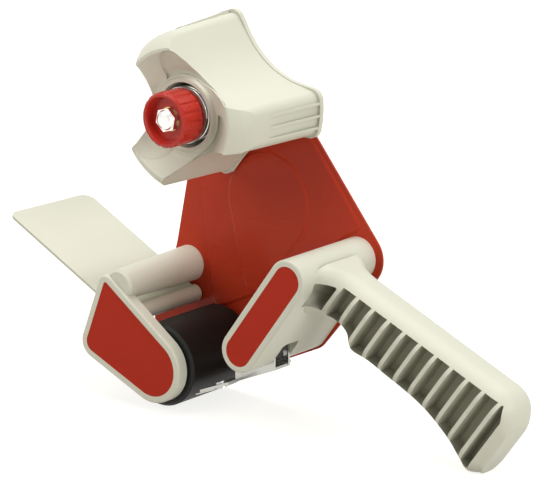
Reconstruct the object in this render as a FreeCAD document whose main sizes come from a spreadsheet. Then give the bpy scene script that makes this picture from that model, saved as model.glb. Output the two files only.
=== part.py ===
import FreeCAD, Part
import Sketcher
import math
import os
from FreeCAD import Vector, Rotation, Placement

# Hand-held packing tape dispenser with a pistol grip.
# X runs from the wiper flap to the butt of the grip, Y from the open side to the side plate, Z up.
# All sizes are millimetres. The drawing origin sits under the roller axle on the near face of the
# head; every piece is moved at the end so that the origin is the bottom centre of the whole object.

doc = FreeCAD.newDocument("TapeDispenser")
sheet = doc.addObject("Spreadsheet::Sheet", "Sizes")


# Driving dimensions
class Size:
    """A number together with the sheet expression that gives it."""

    def __init__(self, value, text):
        self.value = float(value)
        self.text = text

    def _join(self, other, sign, value, flip=False):
        other_text = other.text if isinstance(other, Size) else repr(float(other))
        pair = (other_text, self.text) if flip else (self.text, other_text)
        return Size(value, "(%s %s %s)" % (pair[0], sign, pair[1]))

    def __add__(self, other):
        return self._join(other, "+", self.value + num(other))

    def __radd__(self, other):
        return self._join(other, "+", num(other) + self.value, True)

    def __sub__(self, other):
        return self._join(other, "-", self.value - num(other))

    def __rsub__(self, other):
        return self._join(other, "-", num(other) - self.value, True)

    def __mul__(self, other):
        return self._join(other, "*", self.value * num(other))

    def __rmul__(self, other):
        return self._join(other, "*", num(other) * self.value, True)

    def __truediv__(self, other):
        return self._join(other, "/", self.value / num(other))

    def __neg__(self):
        return 0.0 - self


def num(value):
    return value.value if isinstance(value, Size) else float(value)


class Sizes:
    """Writes each driving dimension into the sheet and keeps it as an attribute."""

    def __init__(self):
        self.row = 1

    def put(self, alias, value, note):
        sheet.set("A%d" % self.row, note)
        sheet.set("B%d" % self.row, "%.6g" % value)
        sheet.setAlias("B%d" % self.row, alias)
        setattr(self, alias, Size(value, "Sizes." + alias))
        self.row += 1


d = Sizes()

# Side plate
d.put("tape_gap", 53.0, "inner face of the side plate, measured from the near face of the head")
d.put("plate_thick", 1.5, "sheet thickness of the side plate")
d.put("field_rise", 0.7, "height of the pressed field of the plate")
d.put("hub_x", 12.5, "hub axis, along X")
d.put("hub_z", 141.6, "hub axis, height")
d.put("plate_top_rad", 18.4, "round of the plate behind the hub")
d.put("shoulder_x", -16.0, "left shoulder of the plate, along X")
d.put("shoulder_z", 96.0, "left shoulder of the plate, height")
d.put("shoulder_rad", 12.4, "left shoulder of the plate, radius")
d.put("waist_x", -93.3, "hollow left edge of the plate, centre along X")
d.put("waist_z", 79.0, "hollow left edge of the plate, centre height")
d.put("waist_rad", 60.0, "hollow left edge of the plate, radius")
d.put("drop_x", 20.5, "pressed drop of the plate, centre of its round along X")
d.put("drop_z", 92.6, "pressed drop of the plate, centre height of its round")
d.put("drop_rad", 23.5, "pressed drop of the plate, radius of its round")
d.put("drop_tip_x", 12.6, "pressed drop of the plate, lower end along X")
d.put("drop_tip_z", 54.6, "pressed drop of the plate, height of its lower end")
d.put("drop_tip_rad", 6.4, "pressed drop of the plate, radius of its lower end")
d.put("drop_rise", 0.5, "height of the pressed drop over the field")

# Head and its inlay
d.put("head_top_x", 72.3, "upper end of the head, along X")
d.put("head_top_z", 74.5, "upper end of the head, height")
d.put("head_low_x", 44.6, "lower end of the head, along X")
d.put("head_low_z", 36.8, "lower end of the head, height")
d.put("head_rad", 9.8, "half thickness of the head")
d.put("plate_rim", 1.0, "plate rim round the lower end of the head")
d.put("plate_rim_top", 3.8, "plate rim round the upper end of the head")
d.put("inlay_edge", 2.9, "wall left round the red bar of the head")
d.put("inlay_deep", 1.0, "depth of the inlay recesses")
d.put("inlay_thick", 0.9, "thickness of the red inlays")
d.put("edge_round", 1.0, "round on the moulded outer edges")

# Nose cap
d.put("cap_thick", 5.8, "thickness of the nose cap")
d.put("cap_top_x", -34.2, "upper corner of the cap, along X")
d.put("cap_top_z", 54.7, "upper corner of the cap, height")
d.put("cap_top_rad", 4.5, "upper corner of the cap, radius")
d.put("cap_tip_x", -41.2, "front corner of the cap, along X")
d.put("cap_tip_z", 25.8, "front corner of the cap, height")
d.put("cap_tip_rad", 8.2, "front corner of the cap, radius")
d.put("cap_low_rad", 16.6, "lower corner of the cap, radius")
d.put("cap_edge", 3.2, "wall left round the red triangle of the cap")
d.put("pillar_x", -27.5, "pillar axis, along X")
d.put("pillar_z", 55.3, "pillar axis, height")
d.put("pillar_rad", 8.6, "radius of the pillar")
d.put("pillar_tip_rad", 7.4, "radius of the pillar at its near end")
d.put("pillar_near", 1.4, "near end of the pillar")

# Roller
d.put("roller_x", -6.8, "roller axis, along X")
d.put("roller_rad", 19.5, "outer radius of the roller, its axis is as high")
d.put("tyre_wall", 4.5, "thickness of the rubber tyre")
d.put("roller_near", 6.6, "near end of the roller")
d.put("roller_far", 51.4, "far end of the roller")
d.put("pin_rad", 3.0, "radius of the roller pin")
d.put("run_fit", 0.05, "radial clearance of the running fits")
d.put("pin_deep", 3.4, "depth of the pin holes in the cap")

# Wiper flap
d.put("flap_x", -23.6, "flap hinge axis, along X")
d.put("flap_z", 41.4, "flap hinge axis, height")
d.put("barrel_rad", 4.2, "radius of the flap barrel")
d.put("flap_pin_rad", 1.5, "radius of the flap pin")
d.put("flap_long", 83.4, "hinge axis to the near corner of the flap tip")
d.put("flap_skew", 6.0, "far corner of the flap tip behind the near corner")
d.put("flap_thick", 1.4, "flap sheet thickness")
d.put("flap_near", 6.3, "near edge of the flap")
d.put("flap_far", 52.1, "far edge of the flap")
d.put("flap_rise", 28.2, "rise of the flap in degrees")
d.put("flap_roll", 8.6, "lean of the flap about its length in degrees")
d.put("flap_drop", 1.7, "sheet below the hinge axis at mid width")
d.put("flap_corner", 6.5, "tip corner radius")

# Blade and its bracket
d.put("blade_x", 14.6, "cutting edge, along X")
d.put("blade_z", 9.4, "cutting edge, height")
d.put("blade_rise", 22.5, "rise of the blade in degrees")
d.put("blade_thick", 0.5, "blade thickness")
d.put("blade_wide", 13.0, "blade width, edge to back")
d.put("tooth_pitch", 1.6, "pitch of the teeth")
d.put("tooth_deep", 1.3, "depth of the teeth")
d.put("blade_near", 5.0, "near end of the blade")
d.put("blade_far", 52.6, "far end of the blade")
d.put("bracket_thick", 1.2, "bracket sheet thickness")
d.put("bracket_back", 3.6, "bracket edge behind the teeth")
d.put("bracket_wide_long", 18.0, "length of the full-width part of the bracket")
d.put("bracket_long", 41.0, "length of the bracket along its slope")
d.put("channel_near", 16.4, "near wall of the channel")
d.put("channel_far", 28.2, "far wall of the channel")
d.put("channel_top", 36.6, "top of the channel walls")
d.put("channel_back", 30.0, "front end of the channel walls")

# Grip
d.put("grip_near", 14.5, "near side of the grip")
d.put("grip_far", 38.5, "far side of the grip")
d.put("grip_x", 95.8, "a point on the back line of the grip, along X")
d.put("grip_z", 74.9, "a point on the back line of the grip, height")
d.put("grip_slope", 23.85, "fall of the back line in degrees")
d.put("rib_angle", 53.7, "lean of the ribs in degrees")
d.put("rib_first", -1.9, "first rib, along the back line")
d.put("rib_pitch", 9.37, "rib pitch along the back line")
d.put("rib_thick", 1.9, "rib thickness")
d.put("rib_count", 11, "number of ribs")
d.put("web_thick", 2.4, "web between the two rows of pockets")
d.put("back_wall", 4.3, "wall at the back line")
d.put("front_wall", 1.9, "wall at the finger side")

# Tape hub
d.put("hub_near", -5.0, "near end of the hub lobes")
d.put("hub_rear", 50.8, "rear end of the hub")
d.put("rim_step", 1.4, "height of the rear flange over the lobes")
d.put("rim_thick", 2.5, "rear flange thickness")
d.put("lobe_rad", 37.8, "radius over the lobes at the front")
d.put("lobe_draft", 2.0, "growth of the lobe radius to the rear")
d.put("lobe_half", 10.2, "half width of a lobe")
d.put("lobe_turn", 115.8, "direction of the top lobe in degrees")
d.put("saddle_rad", 20.2, "least radius between the lobes")
d.put("saddle_round", 44.0, "radius of the hollow between two lobes")
d.put("bore_rad", 15.0, "hub bore")
d.put("bore_floor", 39.0, "floor of the hub bore")
d.put("dish_deep", 3.0, "floor of the front dish")
d.put("arm_rise", 1.2, "height of the three arms of the dish over the webs between them")
d.put("boss_rad", 18.4, "radius of the raised boss round the bore")
d.put("bush_rad", 6.0, "outer radius of the hub bush")

# Axle stud, brake and knob
d.put("stud_rad", 3.0, "radius of the axle stud")
d.put("thread_pitch", 1.0, "thread pitch of the stud")
d.put("disc_rad", 17.0, "friction disc radius")
d.put("disc_thick", 1.2, "friction disc thickness")
d.put("spring_rad", 12.2, "mean coil radius of the brake spring")
d.put("wire_rad", 0.8, "wire radius of the brake spring")
d.put("spring_turns", 7.0, "turns of the brake spring")
d.put("seat_thick", 1.2, "spring seat washer thickness")
d.put("thrust_near", 0.8, "near face of the thrust washer")
d.put("thrust_thick", 1.0, "thrust washer thickness")
d.put("knob_near", -13.0, "near face of the knob")
d.put("knob_far", 0.5, "far face of the knob")
d.put("knob_rad", 12.7, "radius over the flutes of the knob")
d.put("knob_flutes", 18, "number of flutes")
d.put("dish_rad", 10.3, "front dish of the knob")
d.put("knob_floor", -8.6, "floor of the front dish of the knob")
d.put("nut_flat", 10.0, "across flats of the cap nut")
d.put("nut_near", -13.4, "crown of the cap nut")
d.put("nut_far", -8.9, "far face of the cap nut")

# Sheet metal gap and screws
d.put("air_gap", 0.3, "clearance between neighbours that move apart")
d.put("screw_rad", 2.0, "screw shank radius")
d.put("screw_head", 4.0, "screw head radius")
d.put("screw_rise", 2.2, "screw head height")
d.put("screw_deep", 14.0, "screw length in the plastic")

doc.recompute()


# Bodies, sketches and features
bodies = []


def body(label):
    made = doc.addObject("PartDesign::Body", label)
    made.Label = label
    bodies.append(made)
    return made


def origin_item(owner, role):
    for item in owner.Origin.OriginFeatures:
        if item.Role == role:
            return item
    raise ValueError(role)


def sketch(owner, name, depth=0.0, role="XZ_Plane", offset=None):
    """A sketch on an origin plane; depth is the Y of a sketch on the XZ plane."""
    made = owner.newObject("Sketcher::SketchObject", owner.Label + "_" + name)
    made.AttachmentSupport = [(origin_item(owner, role), "")]
    made.MapMode = "FlatFace"
    if offset is not None:
        made.AttachmentOffset = offset
    else:
        made.AttachmentOffset = Placement(Vector(0, 0, -num(depth)), Rotation())
        if isinstance(depth, Size):
            made.setExpression("AttachmentOffset.Base.z", "-1 * " + depth.text)
    return made


def hold(target, constraint, value):
    """Adds a constraint and binds it to the sheet when the value is a driving size."""
    index = target.addConstraint(constraint)
    if isinstance(value, Size):
        name = "k%d" % index
        target.renameConstraint(index, name)
        target.setExpression("Constraints." + name, value.text)
    return index


def hold_point(target, geometry, point, x, z):
    for kind, value in (("DistanceX", x), ("DistanceY", z)):
        hold(target, Sketcher.Constraint(kind, -1, 1, geometry, point, num(value)), value)


def circle(target, x, z, radius):
    shape = Part.Circle(Vector(num(x), num(z), 0), Vector(0, 0, 1), num(radius))
    index = target.addGeometry(shape, False)
    hold(target, Sketcher.Constraint("Radius", index, num(radius)), radius)
    hold_point(target, index, 3, x, z)
    return index


def polygon(target, points):
    """A closed outline of straight lines with every corner fixed."""
    count = len(points)
    corners = [Vector(num(x), num(z), 0) for x, z in points]
    lines = [target.addGeometry(Part.LineSegment(corners[i], corners[(i + 1) % count]), False)
             for i in range(count)]
    for i in range(count):
        target.addConstraint(Sketcher.Constraint("Coincident", lines[i], 2, lines[(i + 1) % count], 1))
        hold_point(target, lines[i], 1, points[i][0], points[i][1])
    return lines


def tangent_angle(one, two):
    """Direction, from both centres, of the touching points of a belt line between two pulleys."""
    dx = num(two[0]) - num(one[0])
    dz = num(two[1]) - num(one[1])
    return math.atan2(dz, dx) - math.acos((num(one[2]) - num(two[2])) / math.hypot(dx, dz))


def belt(target, pulleys):
    """Outline of arcs joined by tangent lines, anticlockwise; a negative radius is a hollow corner."""
    count = len(pulleys)
    angles = [tangent_angle(pulleys[i], pulleys[(i + 1) % count]) for i in range(count)]
    arcs = []
    for i, (x, z, radius) in enumerate(pulleys):
        first, last = angles[i - 1], angles[i]
        if num(radius) > 0:
            while last < first:
                last += 2 * math.pi
            span = (first, last)
        else:
            first += math.pi
            last += math.pi
            while first < last:
                first += 2 * math.pi
            span = (last, first)
        base = Part.Circle(Vector(num(x), num(z), 0), Vector(0, 0, 1), abs(num(radius)))
        arcs.append(target.addGeometry(Part.ArcOfCircle(base, span[0], span[1]), False))
    for i in range(count):
        x, z, radius = pulleys[i]
        size = -radius if num(radius) < 0 else radius
        hold(target, Sketcher.Constraint("Radius", arcs[i], num(size)), size)
        hold_point(target, arcs[i], 3, x, z)
    for i in range(count):
        j = (i + 1) % count
        spots = []
        for k in (i, j):
            x, z, radius = (num(part) for part in pulleys[k])
            spots.append(Vector(x + radius * math.cos(angles[i]), z + radius * math.sin(angles[i]), 0))
        line = target.addGeometry(Part.LineSegment(spots[0], spots[1]), False)
        leave = 2 if num(pulleys[i][2]) > 0 else 1
        reach = 1 if num(pulleys[j][2]) > 0 else 2
        target.addConstraint(Sketcher.Constraint("Tangent", arcs[i], leave, line, 1))
        target.addConstraint(Sketcher.Constraint("Tangent", line, 2, arcs[j], reach))


def finish(owner, feature, length):
    if isinstance(length, Size):
        feature.setExpression("Length", length.text)
    else:
        feature.Length = length
    owner.Tip = feature
    return feature


def pad(owner, profile, length, away=True, middle=False):
    made = owner.newObject("PartDesign::Pad", profile.Label + "_pad")
    made.Profile = profile
    made.Reversed = away
    made.Midplane = middle
    return finish(owner, made, length)


def pocket(owner, profile, length, back=False):
    made = owner.newObject("PartDesign::Pocket", profile.Label + "_cut")
    made.Profile = profile
    made.Reversed = back
    return finish(owner, made, length)


def spin(owner, profile, cut=False):
    kind = "PartDesign::Groove" if cut else "PartDesign::Revolution"
    made = owner.newObject(kind, profile.Label + "_turn")
    made.Profile = profile
    made.ReferenceAxis = (profile, ["V_Axis"])
    made.Angle = 360.0
    owner.Tip = made
    return made


def axis_sketch(owner, name, x, z):
    """A sketch in the level plane through an axis along Y; its own X is the radius, its Y is Y."""
    made = sketch(owner, name, role="XY_Plane", offset=Placement(Vector(num(x), 0, num(z)), Rotation()))
    for axis, value in (("x", x), ("z", z)):
        if isinstance(value, Size):
            made.setExpression("AttachmentOffset.Base." + axis, value.text)
    return made


def turned(label, x, z, outline):
    """A body of revolution about an axis along Y."""
    owner = body(label)
    profile = axis_sketch(owner, "profile", x, z)
    polygon(profile, outline)
    spin(owner, profile)
    return owner


def ring(label, x, z, inner, outer, near, far):
    return turned(label, x, z, [(inner, near), (outer, near), (outer, far), (inner, far)])


def soften(owner, edges, radius):
    """Rounds the named edges of the newest feature of a body."""
    base = owner.Tip
    made = owner.newObject("PartDesign::Fillet", owner.Label + "_soft%d" % len(owner.Group))
    made.Base = (base, edges)
    made.Radius = num(radius)
    if isinstance(radius, Size):
        made.setExpression("Radius", radius.text)
    owner.Tip = made
    doc.recompute()


def edges_where(shape, test):
    return ["Edge%d" % (i + 1) for i, edge in enumerate(shape.Edges) if test(edge)]


def on_plane_y(value):
    """Edges that lie wholly at one Y."""
    def test(edge):
        box = edge.BoundBox
        return abs(box.YMin - value) < 1e-4 and abs(box.YMax - value) < 1e-4
    return test


# Places worked out from the driving dimensions
plate_far = d.tape_gap + d.plate_thick
field_y = d.tape_gap - d.field_rise
roller_z = d.roller_rad
hub_axis = (d.hub_x, d.hub_z)
roller_axis = (d.roller_x, roller_z)
flap_axis = (d.flap_x, d.flap_z)
head_centres = [(d.head_top_x, d.head_top_z), (d.head_low_x, d.head_low_z)]


def along(degrees):
    turn = math.radians(num(degrees))
    return Vector(math.cos(turn), 0, math.sin(turn))


# Side plate: pressed sheet with a raised field, a pressed ring and rounded rims
plate = body("side_plate")
outline = sketch(plate, "outline", d.tape_gap)
plate_corners = [
    (d.hub_x, d.hub_z, d.plate_top_rad),
    (d.shoulder_x, d.shoulder_z, d.shoulder_rad),
    (d.waist_x, d.waist_z, -d.waist_rad),
    (d.cap_tip_x, d.cap_tip_z, d.cap_tip_rad),
    (d.roller_x, roller_z, d.cap_low_rad),
    (d.head_low_x, d.head_low_z, d.head_rad + d.plate_rim),
    (d.head_top_x, d.head_top_z, d.head_rad + d.plate_rim_top),
]
belt(outline, plate_corners)
pad(plate, outline, d.plate_thick)

press_slope = 1.4


def pressed(owner, name, corners, near, far):
    """A low pressed field with a sloping edge all round."""
    layers = []
    for layer, depth, inset in (("top", near, press_slope), ("foot", far + 0.1, 0.0)):
        made = sketch(owner, "%s_%s" % (name, layer), depth)
        belt(made, [(x, z, radius - inset) for x, z, radius in corners])
        layers.append(made)
    feature = owner.newObject("PartDesign::AdditiveLoft", name)
    feature.Profile = layers[0]
    feature.Sections = layers[1:]
    feature.Ruled = True
    owner.Tip = feature


# the field ends just short of the head of the handle
head_clear = d.head_rad + 0.6
field_corner = 5.0
field_corners = [
    (d.hub_x, d.hub_z, d.plate_top_rad - 1.0),
    (d.shoulder_x + 4.0, d.shoulder_z + 2.0, d.shoulder_rad - 3.0),
    (d.flap_x + 14.8, d.flap_z + 0.5, 5.0),
    (d.head_low_x - 34.0, d.head_low_z + 14.0, 5.0),
    (d.head_top_x, d.head_top_z, -head_clear),
    (d.head_top_x - 4.0, d.head_top_z + head_clear + field_corner - 0.1, field_corner),
]
pressed(plate, "field", field_corners, field_y, d.tape_gap)
pressed(plate, "drop", [
    (d.drop_x, d.drop_z, d.drop_rad + press_slope / 2),
    (d.drop_tip_x, d.drop_tip_z, d.drop_tip_rad + press_slope / 2)], field_y - d.drop_rise, field_y)

holes = sketch(plate, "holes", field_y)
circle(holes, d.hub_x, d.hub_z, d.stud_rad)
circle(holes, d.roller_x, roller_z, d.pin_rad)
circle(holes, d.flap_x, d.flap_z, d.flap_pin_rad)
circle(holes, d.pillar_x, d.pillar_z, d.screw_rad)
for x, z in head_centres:
    circle(holes, x, z, d.screw_rad)
pocket(plate, holes, d.plate_thick + d.field_rise + 1.0)
doc.recompute()
soften(plate, edges_where(plate.Shape, lambda e: on_plane_y(num(plate_far))(e) and e.Length > 25), 0.6)


# Nose cap with its pillar
cap = body("nose_cap")
pillar_bevel = 1.2
cap_corners = [
    (d.cap_top_x, d.cap_top_z, d.cap_top_rad),
    (d.cap_tip_x, d.cap_tip_z, d.cap_tip_rad),
    (d.roller_x, roller_z, d.cap_low_rad),
]
cap_outline = sketch(cap, "outline")
belt(cap_outline, cap_corners)
pad(cap, cap_outline, d.cap_thick)
doc.recompute()
soften(cap, edges_where(cap.Shape, on_plane_y(0.0)), d.edge_round)
pillar = axis_sketch(cap, "pillar", d.pillar_x, d.pillar_z)
polygon(pillar, [(0.0, d.pillar_near), (d.pillar_tip_rad - pillar_bevel, d.pillar_near),
                 (d.pillar_tip_rad, d.pillar_near + pillar_bevel), (d.pillar_rad, d.tape_gap), (0.0, d.tape_gap)])
spin(cap, pillar)
recess = sketch(cap, "recess")
belt(recess, [(x, z, radius - d.cap_edge) for x, z, radius in cap_corners])
pocket(cap, recess, d.inlay_deep)
pins = sketch(cap, "pins", d.cap_thick - d.pin_deep)
circle(pins, d.roller_x, roller_z, d.pin_rad)
circle(pins, d.flap_x, d.flap_z, d.flap_pin_rad)
pocket(cap, pins, d.pin_deep)
bore = sketch(cap, "screw", d.tape_gap - d.screw_deep)
circle(bore, d.pillar_x, d.pillar_z, d.screw_rad)
pocket(cap, bore, d.screw_deep)
doc.recompute()
# the pillar has a flat under which the raised flap comes to rest
slope = along(180.0 - d.flap_rise.value)
lean = Rotation(Vector(0, 1, 0), num(d.flap_rise)).multiply(Rotation(Vector(1, 0, 0), num(d.flap_roll)))
flap_mid = 0.5 * (d.flap_near + d.flap_far)
flap_base = Vector(num(d.flap_x), num(flap_mid), num(d.flap_z)) - lean.multVec(Vector(0, 0, num(d.flap_drop)))


def flap_sketch(owner, name, lift=0.0):
    """A sketch in the plane of the flap; its X runs back from the tip to the hinge."""
    place = Placement(flap_base + lean.multVec(Vector(0, 0, lift)), lean)
    return sketch(owner, name, role="XY_Plane", offset=place)


rest = flap_sketch(cap, "rest", num(d.flap_thick) / 2 + num(d.air_gap))
rest_near = d.cap_thick - flap_mid + 0.1
polygon(rest, [(-20.0, rest_near), (20.0, rest_near), (20.0, 26.0), (-20.0, 26.0)])
pocket(cap, rest, 6.0)

inlay = body("nose_inlay")
inlay_outline = sketch(inlay, "outline", d.inlay_deep - d.inlay_thick)
belt(inlay_outline, [(x, z, radius - d.cap_edge) for x, z, radius in cap_corners])
pad(inlay, inlay_outline, d.inlay_thick)


# Roller: rubber tyre on a plastic core that turns on a steel pin
tyre_in = d.roller_rad - d.tyre_wall
bevel = 1.2
turned("roller_tyre", d.roller_x, roller_z, [
    (tyre_in, d.roller_near), (d.roller_rad - bevel, d.roller_near), (d.roller_rad, d.roller_near + bevel),
    (d.roller_rad, d.roller_far - bevel), (d.roller_rad - bevel, d.roller_far), (tyre_in, d.roller_far)])
core_hole = d.pin_rad + d.run_fit
core_web = 2.0
turned("roller_core", d.roller_x, roller_z, [
    (core_hole, d.roller_near), (core_hole + core_web, d.roller_near),
    (core_hole + core_web, d.roller_near + 3.0), (tyre_in - core_web, d.roller_near + 3.0),
    (tyre_in - core_web, d.roller_near), (tyre_in, d.roller_near), (tyre_in, d.roller_far),
    (tyre_in - core_web, d.roller_far), (tyre_in - core_web, d.roller_far - 3.0),
    (core_hole + core_web, d.roller_far - 3.0), (core_hole + core_web, d.roller_far),
    (core_hole, d.roller_far)])
turned("roller_pin", d.roller_x, roller_z, [
    (0.0, d.cap_thick - d.pin_deep + 0.2), (d.pin_rad, d.cap_thick - d.pin_deep + 0.2), (d.pin_rad, plate_far),
    (d.pin_rad + 1.6, plate_far), (d.pin_rad + 1.0, plate_far + 1.2), (0.0, plate_far + 1.2)])
washer = d.roller_near - d.cap_thick - d.air_gap
ring("roller_washer_near", d.roller_x, roller_z, d.pin_rad, d.pin_rad + 3.5, d.cap_thick, d.cap_thick + washer)
ring("roller_washer_far", d.roller_x, roller_z, d.pin_rad, d.pin_rad + 3.5, d.roller_far + d.air_gap, d.tape_gap)


# Wiper flap: hinge barrel and thin sheet in one piece, on a steel pin
flap = body("wiper_flap")
barrel = sketch(flap, "barrel", d.flap_near)
circle(barrel, d.flap_x, d.flap_z, d.barrel_rad)
pad(flap, barrel, d.flap_far - d.flap_near)
sheet_plan = flap_sketch(flap, "sheet")
half_wide = 0.5 * (d.flap_far - d.flap_near)
root = 1.0
near_corner = 3.0
belt(sheet_plan, [
    (-d.flap_long + d.flap_corner + d.flap_skew, half_wide - d.flap_corner, d.flap_corner),
    (-d.flap_long + near_corner, -(half_wide - near_corner), near_corner),
    (-root, -(half_wide - root), root),
    (-root, half_wide - root, root)])
pad(flap, sheet_plan, d.flap_thick, away=False, middle=True)
flap_bore = sketch(flap, "bore", 0.0)
circle(flap_bore, d.flap_x, d.flap_z, d.flap_pin_rad + d.run_fit)
pocket(flap, flap_bore, d.tape_gap + 5.0)
turned("flap_pin", d.flap_x, d.flap_z, [
    (0.0, d.cap_thick - d.pin_deep + 0.2), (d.flap_pin_rad, d.cap_thick - d.pin_deep + 0.2),
    (d.flap_pin_rad, plate_far), (d.flap_pin_rad + 1.2, plate_far),
    (d.flap_pin_rad + 0.7, plate_far + 0.8), (0.0, plate_far + 0.8)])


# Cutting blade under the front of a folded bracket, held by two rivets
blade_lean = Rotation(Vector(0, 1, 0), -num(d.blade_rise))
blade_base = Vector(num(d.blade_x), 0, num(d.blade_z))


def blade_sketch(owner, name, lift=0.0):
    """A sketch in the plane of the blade; its X runs back from the teeth, its Y along the edge."""
    place = Placement(blade_base + blade_lean.multVec(Vector(0, 0, num(lift))), blade_lean)
    return sketch(owner, name, role="XY_Plane", offset=place)


blade = body("cutting_blade")
teeth = blade_sketch(blade, "teeth")
tooth_count = int((num(d.blade_far) - num(d.blade_near)) / num(d.tooth_pitch))
tooth_wide = (num(d.blade_far) - num(d.blade_near)) / tooth_count
saw = [(d.blade_wide, d.blade_near), (d.blade_wide, d.blade_far)]
for k in range(tooth_count, 0, -1):
    saw.append((num(d.tooth_deep), num(d.blade_near) + k * tooth_wide))
    saw.append((0.0, num(d.blade_near) + (k - 0.5) * tooth_wide))
saw.append((num(d.tooth_deep), num(d.blade_near)))
polygon(teeth, saw)
pad(blade, teeth, d.blade_thick, away=False)
rivet_spots = [(d.blade_wide - 4.0, d.blade_near + 10.0), (d.blade_wide - 4.0, d.blade_far - 10.0)]
rivet_rad = 1.5
rivet_holes = blade_sketch(blade, "holes")
for u, v in rivet_spots:
    circle(rivet_holes, u, v, rivet_rad)
pocket(blade, rivet_holes, 5.0, back=True)

bracket = body("blade_bracket")
leaf = blade_sketch(bracket, "leaf", d.blade_thick)
front_u = d.bracket_back
wide_u = d.bracket_back + d.bracket_wide_long
polygon(leaf, [
    (front_u, d.blade_near + 0.8), (wide_u, d.blade_near + 0.8), (wide_u, d.channel_near),
    (d.bracket_long, d.channel_near), (d.bracket_long, d.channel_far), (wide_u, d.channel_far),
    (wide_u, d.blade_far - 0.4), (front_u, d.blade_far - 0.4)])
pad(bracket, leaf, d.bracket_thick, away=False)
tail_low = blade_base + blade_lean.multVec(Vector(num(d.bracket_long), 0, num(d.blade_thick)))
wall_foot = blade_base + blade_lean.multVec(
    Vector((num(d.channel_back) - num(d.blade_x)) / math.cos(math.radians(num(d.blade_rise))), 0,
           num(d.blade_thick)))
wall_round = 3.0
for name, near in (("wall_near", d.channel_near), ("wall_far", d.channel_far - d.bracket_thick)):
    wall = sketch(bracket, name, near)
    belt(wall, [
        (tail_low.x - 0.3, tail_low.z + 0.3, 0.3),
        (tail_low.x - wall_round, num(d.channel_top) - wall_round, wall_round),
        (wall_foot.x + wall_round, num(d.channel_top) - wall_round - 3.0, wall_round),
        (wall_foot.x + 0.3, wall_foot.z + 0.3, 0.3)])
    pad(bracket, wall, d.bracket_thick)
bracket_holes = blade_sketch(bracket, "holes")
for u, v in rivet_spots:
    circle(bracket_holes, u, v, rivet_rad)
pocket(bracket, bracket_holes, 5.0, back=True)
screw_spots = [(tail_low.x - 4.2, tail_low.z + 5.4), (tail_low.x - 11.0, tail_low.z + 5.4)]
side_screw_rad = 1.3
bracket_screws = sketch(bracket, "screw_holes", d.channel_far - 2 * d.bracket_thick)
for x, z in screw_spots:
    circle(bracket_screws, x, z, side_screw_rad)
pocket(bracket, bracket_screws, 3 * d.bracket_thick)

rivets = body("blade_rivets")
rivet_head = 2.6
stack = d.blade_thick + d.bracket_thick
for name, lift, radius, high in (("heads_low", -0.7, rivet_head, 0.7), ("shanks", 0.0, rivet_rad, stack),
                                 ("heads_top", stack, rivet_head, 0.7)):
    layer = blade_sketch(rivets, name, lift)
    for u, v in rivet_spots:
        circle(layer, u, v, radius)
    pad(rivets, layer, high, away=False)

screws = body("bracket_screws")
screw_y = d.channel_far - d.bracket_thick
for name, near, radius, high in (("heads", screw_y - 1.2, 2.4, 1.2), ("shanks", screw_y, side_screw_rad, 8.0)):
    layer = sketch(screws, name, near)
    for x, z in screw_spots:
        circle(layer, x, z, radius)
    pad(screws, layer, high)


# Handle: head, neck and ribbed grip moulded in one piece
handle = body("handle")
head = sketch(handle, "head")
belt(head, [(x, z, d.head_rad) for x, z in head_centres])
pad(handle, head, d.tape_gap)
doc.recompute()
soften(handle, edges_where(handle.Shape, on_plane_y(0.0)), d.edge_round)

# the grip is lofted through rounded sections that lie in the planes of the ribs:
# place along the back line, length of the section, half width
grip_half = 0.5 * (num(d.grip_far) - num(d.grip_near))
grip_stations = [
    (-14.6, 30.0, 19.0), (-11.8, 29.2, 18.4), (-9.2, 28.3, 16.6), (-6.4, 27.0, 14.4), (-3.0, 25.6, 12.9),
    (1.0, 24.4, 12.1), (5.0, 24.2, 12.0), (9.3, 25.0, 12.0),
    (13.2, 27.4, 12.0), (18.0, 31.7, 12.0), (22.6, 31.8, 12.0), (27.4, 31.2, 12.0), (36.8, 31.5, 12.0),
    (49.1, 31.9, 12.0), (65.3, 33.7, 12.0), (76.5, 36.8, 12.0), (84.7, 39.9, 12.0)]
belly_last = 0.5
butt_back = (170.23, 27.77, 13.0)
butt_foot = (164.8, 4.3, 6.4)
butt_start = 94.0
butt_end = 103.9
butt_half = 4.5
fall = along(-num(d.grip_slope))
lift = along(d.rib_angle)
lift_share = math.sin(math.radians(num(d.rib_angle) + num(d.grip_slope)))
grip_mid = 0.5 * (d.grip_near + d.grip_far)
back_start = Vector(num(d.grip_x), num(grip_mid), num(d.grip_z))


def grip_spot(station, down):
    """A point of the grip's middle plane: along the back line, then down along the ribs."""
    return back_start + fall * num(station) - lift * num(down)


def section_length(station):
    """Distance from the back line to the finger side, along a rib."""
    for (s0, l0, w0), (s1, l1, w1) in zip(grip_stations, grip_stations[1:]):
        if s0 <= station <= s1:
            return l0 + (l1 - l0) * (station - s0) / (s1 - s0)
    return grip_stations[-1][1] + belly_last * (station - grip_stations[-1][0])


def circle_reach(station, circle_at, sense):
    """Where the rib line of a station enters (-1) or leaves (1) a circle of the butt outline."""
    start = grip_spot(station, 0.0)
    start = Vector(start.x - circle_at[0], 0, start.z - circle_at[1])
    middle = start.dot(lift)
    inside = middle * middle - start.dot(start) + circle_at[2] ** 2
    return middle + sense * math.sqrt(max(inside, 0.0))


def station_of(x, z):
    """Place along the back line of the rib line through a point of the middle plane."""
    across = fall.x * lift.z - fall.z * lift.x
    return ((x - back_start.x) * lift.z - (z - back_start.z) * lift.x) / across


def butt_low(station):
    """End of the section near the butt: the finger side, then the level foot, then the foot round."""
    level = (grip_spot(station, 0.0).z - (butt_foot[1] - butt_foot[2])) / lift.z
    low = min(section_length(station), level)
    if station > station_of(butt_foot[0], butt_foot[1] - butt_foot[2]):
        low = min(low, circle_reach(station, butt_foot, 1))
    return low


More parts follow.
